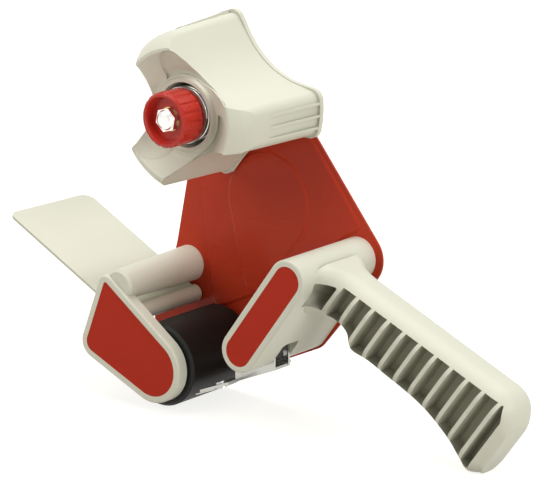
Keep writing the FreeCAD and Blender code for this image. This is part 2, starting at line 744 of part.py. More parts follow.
grip_spans = [(station, 0.0, long, half) for station, long, half in grip_stations]
for share in (-0.45, -0.06, 0.3, 0.6, 0.81, 0.92):
    station = butt_start + (butt_end - butt_start) * share
    top = max(0.0, circle_reach(station, butt_back, -1))
    half = butt_half + (grip_half - butt_half) * math.sqrt(1.0 - max(share, 0.0) ** 2)
    grip_spans.append((station, top, butt_low(station), half))
section_turn = Rotation(Vector(0, 1, 0), lift, Vector(0, 1, 0).cross(lift), "XYZ")
sections = []
for number, (station, top, low, half) in enumerate(grip_spans):
    place = Placement(grip_spot(station, low), section_turn)
    cut = sketch(handle, "section%d" % number, role="XY_Plane", offset=place)
    long = low - top
    back_round = min(10.0, half - 0.6)
    front_round = min(9.0, half - 0.8)
    belt(cut, [
        (half - front_round, front_round, front_round), (half - back_round, long - back_round, back_round),
        (back_round - half, long - back_round, back_round), (front_round - half, front_round, front_round)])
    sections.append(cut)
loft = handle.newObject("PartDesign::AdditiveLoft", "grip_loft")
loft.Profile = sections[0]
loft.Sections = sections[1:]
loft.Ruled = False
handle.Tip = loft

# two rows of ribbed pockets, one from each side, back to back on a middle web
rib_half = 0.5 * num(d.rib_thick) / lift_share
rib_places = [num(d.rib_first) + k * num(d.rib_pitch) for k in range(int(num(d.rib_count)))]
back_down = num(d.back_wall) / lift_share
front_up = num(d.front_wall) / lift_share


def spot_pair(station, down):
    point = grip_spot(station, down)
    return (point.x, point.z)


pockets_near = sketch(handle, "pockets_near")
pockets_far = sketch(handle, "pockets_far", grip_mid + 0.5 * d.web_thick)
for one, two in zip(rib_places, rib_places[1:]):
    left = one + rib_half
    right = two - rib_half
    frame = [spot_pair(left, back_down), spot_pair(left, section_length(left) - front_up),
             spot_pair(right, section_length(right) - front_up), spot_pair(right, back_down)]
    polygon(pockets_near, frame)
    polygon(pockets_far, frame)
last = rib_places[-1] + rib_half
last_open = 0.68 * (num(d.rib_pitch) - 2 * rib_half)
last_back = 4.6
last_foot = 2.0
last_low = butt_low(last + last_open) - front_up - 2 * last_foot
last_pocket = [
    (*spot_pair(last + 0.6, back_down + 0.9), 0.6),
    (*spot_pair(last + 0.7, section_length(last) - front_up - 0.8), 0.6),
    (*spot_pair(last + last_open - last_foot / lift_share, last_low), last_foot),
    (*spot_pair(last + last_open - last_back / lift_share, back_down + last_back + 3.0), last_back)]
belt(pockets_near, last_pocket)
belt(pockets_far, last_pocket)
pocket(handle, pockets_near, grip_mid - 0.5 * d.web_thick)
pocket(handle, pockets_far, 40.0)

# a scoop runs from the side of the head into the first rib, on both sides
scoop_line = [spot_pair(num(d.rib_first) - rib_half, down) for down in (6.0, 19.5)]
for side, mouth_y, floor_y in (("near", d.grip_near - 7.0, grip_mid - 0.5 * d.web_thick),
                               ("far", d.grip_far + 7.0, grip_mid + 0.5 * d.web_thick)):
    layers = []
    for name, depth, reach, bend in (("mouth", mouth_y, 11.3, 5.2), ("floor", floor_y, 3.5, 2.2)):
        cut = sketch(handle, "scoop_%s_%s" % (side, name), depth)
        top, low = scoop_line
        belt(cut, [
            (top[0] - 1.2, top[1] - 0.4, 1.0), (top[0] - reach + bend - 1.6, top[1] + 2.0 - bend, bend),
            (low[0] - reach + 0.4 + bend, low[1] + 0.8 + bend, bend), (low[0] - 1.0, low[1] + 0.4, 1.0)])
        layers.append(cut)
    scoop = handle.newObject("PartDesign::SubtractiveLoft", "scoop_" + side)
    scoop.Profile = layers[0]
    scoop.Sections = layers[1:]
    scoop.Ruled = True
    handle.Tip = scoop

head_recess = sketch(handle, "recess")
belt(head_recess, [(x, z, d.head_rad - d.inlay_edge) for x, z in head_centres])
pocket(handle, head_recess, d.inlay_deep)
slot_top = d.channel_top + 2.0
slot_round = 2.0
slot = sketch(handle, "slot", role="YZ_Plane", offset=Placement(Vector(0, 0, 66.0), Rotation()))
belt(slot, [
    (d.channel_far - slot_round, slot_top - slot_round, slot_round),
    (d.channel_near + slot_round, slot_top - slot_round, slot_round),
    (d.channel_near + 0.1, 15.0, 0.1), (d.channel_far - 0.1, 15.0, 0.1)])
pocket(handle, slot, 50.0)
side_holes = sketch(handle, "side_holes", d.channel_far)
for x, z in screw_spots:
    circle(side_holes, x, z, side_screw_rad)
pocket(handle, side_holes, 6.8)
plate_holes = sketch(handle, "plate_holes", d.tape_gap - d.screw_deep)
for x, z in head_centres:
    circle(plate_holes, x, z, d.screw_rad)
pocket(handle, plate_holes, d.screw_deep)

bar = body("handle_inlay")
bar_outline = sketch(bar, "outline", d.inlay_deep - d.inlay_thick)
belt(bar_outline, [(x, z, d.head_rad - d.inlay_edge) for x, z in head_centres])
pad(bar, bar_outline, d.inlay_thick)


def plate_screws(label, spots):
    """Round-headed screws driven from behind the plate."""
    owner = body(label)
    for name, near, radius, long in (("shanks", d.tape_gap - d.screw_deep, d.screw_rad, plate_far),
                                     ("heads", plate_far, d.screw_head, plate_far + d.screw_rise)):
        layer = sketch(owner, name, near)
        for x, z in spots:
            circle(layer, x, z, radius)
        pad(owner, layer, long - near)
    doc.recompute()
    soften(owner, edges_where(owner.Shape, on_plane_y(num(plate_far + d.screw_rise))), 1.0)
    drive = sketch(owner, "drive", plate_far + d.screw_rise - 1.2)
    for x, z in spots:
        circle(drive, x, z, 1.4)
    pocket(owner, drive, 1.2)


plate_screws("handle_screws", head_centres)
plate_screws("pillar_screw", [(d.pillar_x, d.pillar_z)])


# Tape hub: three lobes with a rear flange, a dished front and a deep bore for the brake spring
hub = body("tape_hub")
lobe_turns = [math.radians(num(d.lobe_turn) + 120 * k) for k in range(3)]
lobe_corner = 5.0
corner_lead = 0.02
tips = [(along(math.degrees(turn)), along(math.degrees(turn) + 90.0)) for turn in lobe_turns]
centre = Vector(num(d.hub_x), 0, num(d.hub_z))


def lobe_spot(pair, out, side):
    """A point of the hub front: outward along a lobe, then sideways, anticlockwise."""
    spot = centre + pair[0] * num(out) + pair[1] * num(side)
    return spot.x, spot.z


def lobe_edge(place):
    """Radius over the lobes at one Y."""
    return d.lobe_rad + d.lobe_draft * ((num(place) - num(d.hub_near)) / (num(d.hub_rear) - num(d.hub_near)))


def lobe_outline(name, depth, tip, half, saddle):
    """Three lobes with round corners on one tip circle, and hollows between them."""
    made = sketch(hub, name, depth)
    pulleys = []
    side = num(half) - lobe_corner
    out = math.sqrt((num(tip) - lobe_corner + corner_lead) ** 2 - side ** 2)
    for pair, turn in zip(tips, lobe_turns):
        pulleys.append((*lobe_spot(pair, out, -side), lobe_corner))
        pulleys.append((centre.x, centre.z, tip))
        pulleys.append((*lobe_spot(pair, out, side), lobe_corner))
        between = along(math.degrees(turn) + 60.0) * num(saddle + d.saddle_round) + centre
        pulleys.append((between.x, between.z, -d.saddle_round))
    belt(made, pulleys)
    return made


lobes = hub.newObject("PartDesign::AdditiveLoft", "lobes")
saddle_draft = 0.3
lobes.Profile = lobe_outline("lobes_front", d.hub_near, d.lobe_rad, d.lobe_half, d.saddle_rad - saddle_draft)
lobes.Sections = [lobe_outline("lobes_rear", d.hub_rear, lobe_edge(d.hub_rear), d.lobe_half + 0.5, d.saddle_rad)]
lobes.Ruled = True
hub.Tip = lobes
flange_front = d.hub_rear - d.rim_thick
flange_rad = lobe_edge(d.hub_rear) + d.rim_step
flange = lobe_outline("flange", flange_front, flange_rad, d.lobe_half + d.rim_step, d.saddle_rad + 0.4)
pad(hub, flange, d.rim_thick)
# the front is dished, and three arms sweep from the lobes into a raised boss
dish_rad = 31.0


def dish_profile(name, deeper):
    made = axis_sketch(hub, name, *hub_axis)
    polygon(made, [(0.0, d.hub_near - 1.0), (dish_rad, d.hub_near - 1.0),
                   (dish_rad - 1.5, d.hub_near + 0.6 + deeper), (dish_rad - 6.0, d.hub_near + 4.6 + deeper),
                   (dish_rad - 10.0, d.dish_deep - 0.6 + deeper), (dish_rad - 11.4, d.dish_deep + deeper),
                   (0.0, d.dish_deep + deeper)])
    return made


spin(hub, dish_profile("web_dish", d.arm_rise), cut=True)
boss = sketch(hub, "boss", d.hub_near)
circle(boss, d.hub_x, d.hub_z, d.boss_rad)
pad(hub, boss, d.dish_deep + 2.0 * d.arm_rise - d.hub_near)
hollow_rad = 10.5
for number, pair in enumerate(tips):
    arm = sketch(hub, "arm%d" % number, d.hub_near)
    belt(arm, [
        (*lobe_spot(pair, 30.2, -9.4), 0.5), (*lobe_spot(pair, 33.0, 8.8), 0.5),
        (*lobe_spot(pair, 4.0, 17.0), 0.5), (*lobe_spot(pair, 14.5, 4.5), 0.5),
        (*lobe_spot(pair, 19.0, -7.0), -hollow_rad)])
    pad(hub, arm, d.dish_deep + 2.0 * d.arm_rise - d.hub_near)
spin(hub, dish_profile("dish", 0.0), cut=True)
# the lobes run in at the front with a soft curve, so that a core slides on easily
taper = axis_sketch(hub, "taper", *hub_axis)
taper_long = 12.0
taper_steps = 8
taper_start = dish_rad + 0.5
taper_end = lobe_edge(d.hub_near + taper_long)
run_in = []
for k in range(taper_steps, -1, -1):
    share = k / taper_steps
    swell = 1.0 - (1.0 - share) ** 1.8
    run_in.append((taper_start + (taper_end - taper_start) * swell, d.hub_near + taper_long * share))
clear_of_hub = num(taper_end) + 12.0
polygon(taper, [(taper_start, d.hub_near - 1.0), (clear_of_hub, d.hub_near - 1.0),
                (clear_of_hub, d.hub_near + taper_long)] + run_in)
spin(hub, taper, cut=True)
lip = axis_sketch(hub, "lip", *hub_axis)
polygon(lip, [(d.bore_rad, d.dish_deep - 1.2), (d.bore_rad + 1.6, d.dish_deep - 1.2),
              (d.bore_rad + 3.0, d.dish_deep + 0.6), (d.bore_rad, d.dish_deep + 0.6)])
spin(hub, lip)
well = sketch(hub, "well", d.dish_deep - 6.0)
circle(well, d.hub_x, d.hub_z, d.bore_rad)
pocket(hub, well, d.bore_floor - d.dish_deep + 6.0)
seat = sketch(hub, "bush_seat", d.bore_floor)
circle(seat, d.hub_x, d.hub_z, d.bush_rad)
pocket(hub, seat, d.hub_rear - d.bore_floor)

# three low wedge ribs grip the tape core on every lobe
wedge_near = 14.0
wedge_rise = 1.3
wedge_foot = 1.2
wedge_start = 0.5
wedge_wide = 1.3
for number, turn in enumerate(lobe_turns):
    for step in (-1, 0, 1):
        angle = turn + step * 5.3 / num(d.lobe_rad)
        local = Placement(Vector(num(d.hub_x), 0, num(d.hub_z)), Rotation(Vector(0, 1, 0), -math.degrees(angle)))
        wedge = sketch(hub, "wedge%d%s" % (number, "lmr"[step + 1]), role="XY_Plane", offset=local)
        polygon(wedge, [(lobe_edge(wedge_near) - 0.1, wedge_near),
                        (lobe_edge(wedge_near + 3.0) + wedge_start, wedge_near + 3.0),
                        (lobe_edge(flange_front) + wedge_rise, flange_front),
                        (lobe_edge(flange_front) - wedge_foot, flange_front)])
        pad(hub, wedge, wedge_wide, away=False, middle=True)
ring("hub_bush", d.hub_x, d.hub_z, d.stud_rad + d.run_fit, d.bush_rad, d.bore_floor, d.hub_rear)


# Brake on the axle stud: friction disc, spring between two washers, fluted knob and cap nut
ring("friction_disc", d.hub_x, d.hub_z, d.stud_rad + 0.1, d.disc_rad, field_y - d.disc_thick, field_y)
stud_head = 8.0
turned("axle_stud", d.hub_x, d.hub_z, [
    (0.0, d.nut_near + 1.6), (d.stud_rad - 0.6, d.nut_near + 1.6), (d.stud_rad, d.nut_near + 2.2),
    (d.stud_rad, plate_far), (stud_head, plate_far), (stud_head, plate_far + 1.4),
    (stud_head - 1.0, plate_far + 2.2), (0.0, plate_far + 2.2)])
seat_near = d.bore_floor - d.seat_thick
ring("spring_seat_washer", d.hub_x, d.hub_z, d.stud_rad + d.air_gap, d.bore_rad - 0.5, seat_near, d.bore_floor)
thrust_far = d.thrust_near + d.thrust_thick
ring("thrust_washer", d.hub_x, d.hub_z, d.stud_rad + d.air_gap, d.spring_rad + d.wire_rad, d.thrust_near,
     thrust_far)


def biarc(start, start_way, end, end_way):
    """Two arcs that leave one point and reach another in the given directions."""
    chord = end - start
    both = start_way + end_way
    part = 2 * (1 - start_way.dot(end_way))
    reach = (-chord.dot(both) + math.sqrt(chord.dot(both) ** 2 + part * chord.dot(chord))) / part
    middle = (start + start_way * reach + end - end_way * reach) * 0.5
    return [arc_from(start, start_way, middle, 1), arc_from(end, end_way * -1, middle, -1)]


def arc_from(start, way, end, sense):
    chord = end - start
    unit = Vector(chord)
    unit.normalize()
    side = way - unit * way.dot(unit)
    turn = math.asin(min(1.0, side.Length))
    side.normalize()
    rise = chord.Length / 2 * math.tan(turn / 2)
    crown = start + chord * 0.5 + side * rise
    ends = (start, end) if sense > 0 else (end, start)
    return Part.Arc(ends[0], crown, ends[1]).toShape()


spring_gap = 0.05
coil_rad = num(d.spring_rad)
wire = num(d.wire_rad)
spring_near = num(thrust_far) + wire + spring_gap
spring_far = num(seat_near) - wire - spring_gap
closed_step = (2 * wire + 0.6) / 4
quarters = int(4 * (num(d.spring_turns) + 2))
open_step = (spring_far - spring_near - 8 * closed_step) / (quarters - 8)
steps = [closed_step if q < 4 or q >= quarters - 4 else open_step for q in range(quarters)]
heights = [spring_near + sum(steps[:q]) for q in range(quarters + 1)]


def coil_point(q):
    turn = math.pi / 2 * q + 0.6
    around = Vector(math.cos(turn), 0, math.sin(turn)) * coil_rad
    rise = 0.5 * (steps[max(q - 1, 0)] + steps[min(q, quarters - 1)]) / (math.pi / 2)
    way = Vector(-math.sin(turn) * coil_rad, rise, math.cos(turn) * coil_rad)
    way.normalize()
    return centre + around + Vector(0, heights[q], 0), way


coil_edges = []
for q in range(quarters):
    coil_edges += biarc(*coil_point(q), *coil_point(q + 1))
coil_path = Part.Wire(coil_edges)
start_point, start_way = coil_point(0)
coil_mouth = Part.Wire(Part.Circle(start_point, start_way, wire).toShape())
spring_shape = coil_path.makePipeShell([coil_mouth], True, False)
track = [edge.valueAt(edge.FirstParameter + (edge.LastParameter - edge.FirstParameter) * i / 6)
         for edge in coil_edges for i in range(6)]
turn_steps = 6 * 8
gaps = [(track[i] - track[j]).Length - 2 * wire
        for i in range(len(track)) for j in range(i + turn_steps * 2 // 3, min(len(track), i + turn_steps * 2))]
print("least gap between the coils of the brake spring: %.2f mm" % min(gaps))
spring = doc.addObject("Part::Feature", "brake_spring")
spring.Label = "brake_spring"
spring.Shape = spring_shape
bodies.append(spring)

knob = body("tension_knob")
knob_turn = axis_sketch(knob, "profile", *hub_axis)
insert_rad = 5.5
rim_round = 1.0
polygon(knob_turn, [
    (insert_rad, d.knob_floor), (d.dish_rad - 0.8, d.knob_floor), (d.dish_rad, d.knob_near + 1.2),
    (d.dish_rad + 0.5, d.knob_near), (d.knob_rad - rim_round, d.knob_near),
    (d.knob_rad, d.knob_near + rim_round), (d.knob_rad, d.knob_far - rim_round),
    (d.knob_rad - rim_round, d.knob_far), (insert_rad, d.knob_far)])
spin(knob, knob_turn)
flutes = sketch(knob, "flutes", d.knob_near)
flute_count = int(num(d.knob_flutes))
flute_rad = 1.15
for k in range(flute_count):
    turn = 2 * math.pi * k / flute_count
    circle(flutes, num(d.hub_x) + (num(d.knob_rad) + 0.55) * math.cos(turn),
           num(d.hub_z) + (num(d.knob_rad) + 0.55) * math.sin(turn), flute_rad)
pocket(knob, flutes, d.knob_far - d.knob_near)
ring("knob_insert", d.hub_x, d.hub_z, d.stud_rad + d.run_fit, insert_rad, d.knob_floor, d.knob_far)

nut = body("cap_nut")
nut_skirt = 2.6
flats = sketch(nut, "flats", d.nut_far - nut_skirt)
across = num(d.nut_flat) / math.sqrt(3)
polygon(flats, [(num(d.hub_x) + across * math.cos(math.pi / 3 * k + 0.3),
                 num(d.hub_z) + across * math.sin(math.pi / 3 * k + 0.3)) for k in range(6)])
pad(nut, flats, nut_skirt)
crown = axis_sketch(nut, "crown", *hub_axis)
polygon(crown, [(0.0, d.nut_far - 1.0), (d.nut_flat / 2 - 0.4, d.nut_far - 1.0),
                (d.nut_flat / 2 - 0.4, d.nut_far - nut_skirt - 0.3), (d.nut_flat / 2 - 0.9, d.nut_near + 0.9),
                (d.nut_flat / 2 - 2.0, d.nut_near + 0.25), (1.2, d.nut_near), (0.0, d.nut_near)])
spin(nut, crown)
thread = sketch(nut, "thread", d.nut_near + 1.5)
circle(thread, d.hub_x, d.hub_z, d.stud_rad)
pocket(nut, thread, d.nut_far - d.nut_near)


# Check every piece, move the origin to the bottom centre and write the pieces
doc.recompute()
for item in doc.Objects:
    if "Invalid" in item.State or "Error" in item.State:
        raise RuntimeError("%s failed: %s" % (item.Label, item.State))
for piece in bodies:
    if piece.Shape.isNull() or not piece.Shape.isValid():
        raise RuntimeError("%s has no valid shape" % piece.Label)
whole = FreeCAD.BoundBox()
for piece in bodies:
    whole.add(piece.Shape.optimalBoundingBox(False, False))
origin = Vector((whole.XMin + whole.XMax) / 2, (whole.YMin + whole.YMax) / 2, whole.ZMin)
for piece in bodies:
    piece.Placement = Placement(origin * -1, Rotation())
doc.recompute()
print("origin of the drawing in the finished frame: %.4f %.4f %.4f" % (-origin.x, -origin.y, -origin.z))
os.makedirs("parts", exist_ok=True)
for piece in bodies:
    piece.Shape.exportStep("parts/%s.step" % piece.Label)
    print(piece.Label, "%.1f mm3, %d solid(s)" % (piece.Shape.Volume, len(piece.Shape.Solids)))
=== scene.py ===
# %% [markdown]
# # Packing tape dispenser
# A hand-held dispenser for rolls of packing tape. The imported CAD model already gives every
# solid piece its shape and its place, so this script adds what a solid model lacks: surface
# finishes, the wound wire of the brake spring, light, floor and camera.

import bpy
import math
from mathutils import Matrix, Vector


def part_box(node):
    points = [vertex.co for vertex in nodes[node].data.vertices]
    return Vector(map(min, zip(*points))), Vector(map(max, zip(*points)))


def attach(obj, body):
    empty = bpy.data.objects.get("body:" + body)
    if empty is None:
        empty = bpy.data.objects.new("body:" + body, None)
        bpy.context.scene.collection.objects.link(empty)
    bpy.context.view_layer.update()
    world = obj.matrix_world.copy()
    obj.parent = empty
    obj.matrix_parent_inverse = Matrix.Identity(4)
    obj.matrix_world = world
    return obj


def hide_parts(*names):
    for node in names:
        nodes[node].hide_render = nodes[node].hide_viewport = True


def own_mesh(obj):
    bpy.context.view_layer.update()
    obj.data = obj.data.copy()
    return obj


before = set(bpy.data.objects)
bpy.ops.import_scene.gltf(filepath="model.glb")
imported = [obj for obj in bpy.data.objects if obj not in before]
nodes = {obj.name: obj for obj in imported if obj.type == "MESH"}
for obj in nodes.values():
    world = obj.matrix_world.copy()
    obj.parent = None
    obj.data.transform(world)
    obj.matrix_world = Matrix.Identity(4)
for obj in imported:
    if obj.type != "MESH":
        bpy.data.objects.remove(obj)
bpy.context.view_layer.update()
MM = 0.001

# %% [markdown]
# ## Camera
# The view is from the open side, a little above, with a long lens: parallel edges stay
# almost parallel. The camera stands on a line given by two angles, which is easier to adjust
# than three coordinates.

# %% Camera
camera_turn = math.radians(38.5)
camera_rise = math.radians(15.0)
camera_far = 1640 * MM
camera_target = Vector((21.3, -21.65, 89.2)) * MM
back = Vector((math.sin(camera_turn) * math.cos(camera_rise),
               -math.cos(camera_turn) * math.cos(camera_rise),
               math.sin(camera_rise)))
camera_data = bpy.data.cameras.new("camera")
camera_data.lens = 246.0
camera_data.sensor_width = 36.0
camera = bpy.data.objects.new("camera", camera_data)
camera.location = camera_target + back * camera_far
camera.rotation_euler = back.to_track_quat("Z", "Y").to_euler()
bpy.context.scene.collection.objects.link(camera)
bpy.context.scene.camera = camera
bpy.context.scene.view_settings.view_transform = "Standard"
print("camera", [round(v, 3) for v in camera.location])

# %% [markdown]
# ## Helpers for node trees
# A node tree is easier to read when one line adds a node, sets its properties and fills its
# sockets. A socket may get a plain value or another node's output. Some nodes have several
# sockets of one name, so these are called by their number: n0 is the first one.


# %% Node helpers
def add(tree, kind, props=None, **sockets):
    """Adds a node and fills its sockets, named with underscores for spaces, or n and a number."""
    item = tree.nodes.new(kind)
    for name, value in (props or {}).items():
        setattr(item, name, value)
    for name, value in sockets.items():
        numbered = name[0] == "n" and name[1:].isdigit()
        socket = item.inputs[int(name[1:]) if numbered else name.replace("_", " ")]
        if isinstance(value, bpy.types.NodeSocket):
            tree.links.new(value, socket)
        else:
            socket.default_value = value
    return item


def math_node(tree, operation, first, second=0.0, third=0.0, clamp=False):
    """The output of a Math node."""
    return add(tree, "ShaderNodeMath", {"operation": operation, "use_clamp": clamp},
               n0=first, n1=second, n2=third).outputs[0]


def new_group(name, inputs, outputs):
    """An empty shader group with named float inputs and outputs, and its two end nodes."""
    tree = bpy.data.node_groups.new(name, "ShaderNodeTree")
    for label, value in inputs.items():
        socket = tree.interface.new_socket(label, in_out="INPUT", socket_type="NodeSocketFloat")
        socket.default_value = value
    for label in outputs:
        tree.interface.new_socket(label, in_out="OUTPUT", socket_type="NodeSocketFloat")
    return tree, tree.nodes.new("NodeGroupInput"), tree.nodes.new("NodeGroupOutput")


# %% [markdown]
# ## Grain
# Moulded plastic, paint and rubber are never quite even. A fine grain comes from the mould or
# the spray, and broad soft patches come from handling. Noise in object coordinates gives both
# without an image, and one group serves every material with its own sizes.

# %% Grain group
patch_share = 0.75
grain_tree, ends_in, ends_out = new_group(
    "grain", {"Grain Scale": 1500.0, "Patch Scale": 25.0, "Stretch": 1.0}, ["Tone", "Height"])
place = add(grain_tree, "ShaderNodeTexCoord").outputs["Object"]
patches = add(grain_tree, "ShaderNodeTexNoise", Vector=place, Scale=ends_in.outputs["Patch Scale"],
              Detail=3.0, Roughness=0.55)
long_way = add(grain_tree, "ShaderNodeCombineXYZ", X=ends_in.outputs["Stretch"], Y=1.0, Z=1.0)
stretched = add(grain_tree, "ShaderNodeVectorMath", {"operation": "MULTIPLY"},
                n0=place, n1=long_way.outputs[0])
grains = add(grain_tree, "ShaderNodeTexNoise", Vector=stretched.outputs[0],
             Scale=ends_in.outputs["Grain Scale"], Detail=4.0, Roughness=0.6)
fine = math_node(grain_tree, "MULTIPLY", grains.outputs[0], 1.0 - patch_share)
broad = math_node(grain_tree, "MULTIPLY", patches.outputs[0], patch_share)
grain_tree.links.new(math_node(grain_tree, "ADD", broad, fine), ends_out.inputs["Tone"])
grain_tree.links.new(grains.outputs[0], ends_out.inputs["Height"])
print("grain group:", len(grain_tree.nodes), "nodes")

# %% [markdown]
# ## Handling marks
# Hard glossy surfaces pick up short fine scratches. A noise squeezed about twenty times across
# one direction and cut at a high level leaves thin streaks. Two crossed layers avoid a combed
# look.

# %% Scratch group
streak_squeeze = 22.0
cut_from, cut_to = 0.68, 0.74
marks_tree, ends_in, ends_out = new_group(
    "handling_marks", {"Scale": 60.0, "Amount": 0.5}, ["Marks"])
place = add(marks_tree, "ShaderNodeTexCoord").outputs["Object"]
layers = []
for turn in ((0.3, 0.6, 0.2), (1.1, -0.4, 1.7)):
    turned = add(marks_tree, "ShaderNodeMapping", Vector=place, Rotation=turn,
                 Scale=(1.0, streak_squeeze, streak_squeeze))
    streaks = add(marks_tree, "ShaderNodeTexNoise", Vector=turned.outputs[0],
                  Scale=ends_in.outputs["Scale"], Detail=2.0, Roughness=0.5)
    cut = add(marks_tree, "ShaderNodeMapRange", Value=streaks.outputs[0],
              From_Min=cut_from, From_Max=cut_to)
    layers.append(cut.outputs[0])
both = math_node(marks_tree, "MAXIMUM", layers[0], layers[1])
marks_tree.links.new(math_node(marks_tree, "MULTIPLY", both, ends_in.outputs["Amount"]),
                     ends_out.inputs["Marks"])
print("scratch layers:", len(layers))

# %% [markdown]
# ## Dust
# A little dust settles on what faces upwards. The surface normal says how far a face looks up,
# and a noise breaks the layer into patches.

# %% Dust group
dust_from, dust_full = 0.35, 1.0
dust_tree, ends_in, ends_out = new_group("settled_dust", {"Amount": 0.1}, ["Mask"])
normal = add(dust_tree, "ShaderNodeNewGeometry").outputs["Normal"]
facing = add(dust_tree, "ShaderNodeSeparateXYZ", Vector=normal)
upward = add(dust_tree, "ShaderNodeMapRange", Value=facing.outputs["Z"],
             From_Min=dust_from, From_Max=dust_full)
place = add(dust_tree, "ShaderNodeTexCoord").outputs["Object"]
clouds = add(dust_tree, "ShaderNodeTexNoise", Vector=place, Scale=140.0, Detail=5.0, Roughness=0.7)
speckled = math_node(dust_tree, "MULTIPLY", upward.outputs[0], clouds.outputs[0])
dust_tree.links.new(math_node(dust_tree, "MULTIPLY", speckled, ends_in.outputs["Amount"]),
                    ends_out.inputs["Mask"])
print("dust lies on faces whose normal rises more than", dust_from)

# %% [markdown]
# ## One recipe for the finishes
# Every finish here is a base colour that drifts to a second colour with the tone, a roughness
# that drifts too, a grain that lifts the surface by some micrometres, marks and dust. Pale plastic
# also gets painted shade: the occlusion node finds deep narrow places and darkens their colour.
# A function with named sizes keeps the recipes comparable; the shader stays in the material.

# %% Finish recipe
# Painted shade: recesses found by the occlusion node darken towards this colour, within this reach.
recess_shade_colour = (0.16, 0.16, 0.11)
recess_shade_reach = 16 * MM
coat_rough = 0.12


def blend(tree, factor, first, second):
    """The colour output of a Mix node, from the first colour at 0 to the second at 1."""
    return add(tree, "ShaderNodeMix", {"data_type": "RGBA"},
               n0=factor, n6=first, n7=second).outputs[2]


def finish(name, colour, second, rough, rough_drift=0.06, grain=1500.0, patch=25.0, stretch=1.0,
           lift=0.02 * MM, metal=0.0, coat=0.0, marks=0.0, marks_scale=60.0, dust=0.1,
           dust_colour=(0.55, 0.52, 0.46), specular=0.5, recess_shade=0.0):
    """A procedural material. Lift is the height of the grain in metres; the last argument paints
    shade into recesses.
    """
    material = bpy.data.materials.new(name)
    material.use_nodes = True
    tree = material.node_tree
    shader = tree.nodes["Principled BSDF"]
    grains = add(tree, "ShaderNodeGroup", {"node_tree": grain_tree},
                 Grain_Scale=grain, Patch_Scale=patch, Stretch=stretch)
    scratches = add(tree, "ShaderNodeGroup", {"node_tree": marks_tree},
                    Scale=marks_scale, Amount=marks)
    powder = add(tree, "ShaderNodeGroup", {"node_tree": dust_tree}, Amount=dust)
    tint = blend(tree, grains.outputs["Tone"], (*colour, 1.0), (*second, 1.0))
    skin = blend(tree, powder.outputs["Mask"], tint, (*dust_colour, 1.0))
    # Painted shade: the colour darkens where the occlusion node finds the surface hemmed in by
    # itself.
    if recess_shade:
        open_sky = add(tree, "ShaderNodeAmbientOcclusion", {"only_local": True, "samples": 8},
                       Distance=recess_shade_reach)
        hidden = math_node(tree, "SUBTRACT", 1.0, open_sky.outputs["AO"])
        skin = blend(tree, math_node(tree, "MULTIPLY", hidden, recess_shade), skin, (*recess_shade_colour, 1.0))
    drift = math_node(tree, "MULTIPLY_ADD", grains.outputs["Tone"], rough_drift * 2,
                      rough - rough_drift)
    worn = math_node(tree, "ADD", drift, scratches.outputs["Marks"])
    dull = math_node(tree, "ADD", worn, powder.outputs["Mask"], clamp=True)
    bump = add(tree, "ShaderNodeBump", Strength=1.0, Distance=lift, Height=grains.outputs["Height"])
    tree.links.new(skin, shader.inputs["Base Color"])
    tree.links.new(dull, shader.inputs["Roughness"])
    tree.links.new(bump.outputs[0], shader.inputs["Normal"])
    shader.inputs["Metallic"].default_value = metal
    shader.inputs["Specular IOR Level"].default_value = specular
    shader.inputs["Coat Weight"].default_value = coat
    shader.inputs["Coat Roughness"].default_value = coat_rough
    print("finish:", name, "with", len(tree.nodes), "nodes")
    return material


# %% [markdown]
# ## Plastics
# The cap, the handle and the hub are moulded in the same off-white plastic with a fine spark
# texture. The wiper flap is a thinner, smoother plastic. The two inlays are matt red labels of
# pebbled vinyl, and the knob is glossy red plastic. The roller runs on a plain grey one.

# %% Plastics
# The cream plastic also gets painted shade in its recesses.
cream = finish("cream_plastic", (0.72, 0.71, 0.60), (0.79, 0.78, 0.67), 0.42,
               grain=1900.0, patch=22.0, lift=0.012 * MM, marks=0.12, dust=0.08,
               specular=0.4, recess_shade=0.55)
flap_cream = finish("flap_plastic", (0.69, 0.68, 0.57), (0.75, 0.74, 0.63), 0.36,
                    grain=700.0, patch=18.0, lift=0.006 * MM, marks=0.16, dust=0.08,
                    specular=0.35)
inlay_red = finish("inlay_red", (0.46, 0.028, 0.012), (0.52, 0.036, 0.017), 0.55,
                   grain=2600.0, patch=30.0, lift=0.03 * MM, marks=0.05, dust=0.02,
                   specular=0.12)
knob_red = finish("knob_red", (0.50, 0.020, 0.010), (0.58, 0.030, 0.016), 0.26,
                  grain=900.0, patch=60.0, lift=0.005 * MM, coat=0.12, marks=0.15,
                  marks_scale=110.0, dust=0.03, specular=0.3)
grey_plastic = finish("grey_plastic", (0.24, 0.24, 0.24), (0.30, 0.30, 0.29), 0.5, marks=0.1)

# %% [markdown]
# ## Painted steel
# The side plate is pressed sheet with a hard red stove enamel. The enamel is glossy, with a
# slow orange-peel wave about a millimetre across, so highlights are soft at their edges.

# %% Enamel
enamel = finish("red_enamel", (0.47, 0.034, 0.013), (0.56, 0.050, 0.018), 0.26,
                rough_drift=0.04, grain=620.0, patch=14.0, lift=0.010 * MM, coat=0.08,
                marks=0.14, dust=0.03, specular=0.10)

# %% [markdown]
# ## Rubber
# The roller has a tyre of black rubber that was ground round, which leaves fine rings round its
# axis. Stretching the grain along the two directions across the axis would need a turning
# texture, so the rings come from a wave along the axis instead.

